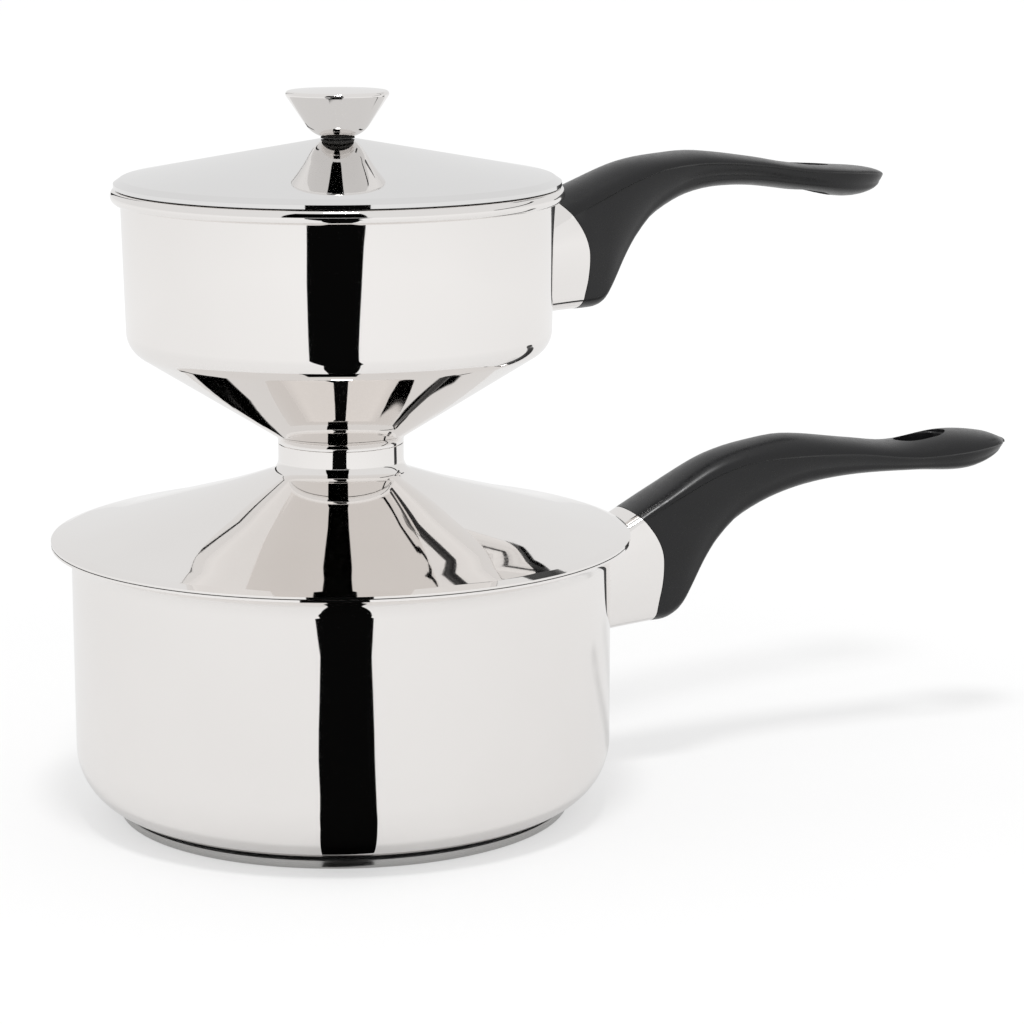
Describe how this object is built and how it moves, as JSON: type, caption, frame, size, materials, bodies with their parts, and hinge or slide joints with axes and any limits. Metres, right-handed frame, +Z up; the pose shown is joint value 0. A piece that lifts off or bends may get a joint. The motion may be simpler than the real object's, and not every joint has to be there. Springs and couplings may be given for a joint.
{
  "type": "couscous steamer",
  "caption": "Stacked steamer: long-handled saucepan, funnel-shaped steaming pan on a spreading skirt with a perforated plate inside, and a conical lid with a turned knob.",
  "frame": {"origin": "centre of the saucepan base's underside, on the pans' common axis", "axes": "+Z up along the common axis; +X along the saucepan's handle; +Y completes a right-handed frame"},
  "size_m": [0.3939, 0.2148, 0.2688],
  "materials": {
    "polished_steel": "mirror polished stainless steel",
    "satin_steel": "satin stainless steel",
    "core_aluminium": "plain aluminium, closed in",
    "black_moulding": "satin black phenolic moulding",
    "grey_fibre": "dark fibre washer"
  },
  "bodies": {
    "saucepan": {"saucepan_shell": "polished_steel", "base_cap": "satin_steel", "base_core": "core_aluminium", "saucepan_bracket": "satin_steel", "saucepan_ferrule": "polished_steel", "saucepan_handle": "black_moulding", "saucepan_handle_screw": "satin_steel"},
    "steamer": {"steamer_skirt": "polished_steel", "locating_ring": "satin_steel", "steamer_bowl": "polished_steel", "steamer_bracket": "satin_steel", "steamer_ferrule": "polished_steel", "steamer_handle": "black_moulding", "steamer_handle_screw": "satin_steel"},
    "plate": {"perforated_plate": "satin_steel"},
    "lid": {"lid_shell": "polished_steel", "lid_knob": "polished_steel", "knob_washer": "grey_fibre", "knob_nut_plate": "satin_steel", "knob_screw": "satin_steel"}
  },
  "joints": [
    {"name": "steamer_lift", "type": "slide", "parent": "saucepan", "child": "steamer", "axis": [0, 0, 1], "range_m": [0, 0.12]},
    {"name": "plate_lift", "type": "slide", "parent": "steamer", "child": "plate", "axis": [0, 0, 1], "range_m": [0, 0.045]},
    {"name": "lid_lift", "type": "slide", "parent": "steamer", "child": "lid", "axis": [0, 0, 1], "range_m": [0, 0.08]}
  ]
}
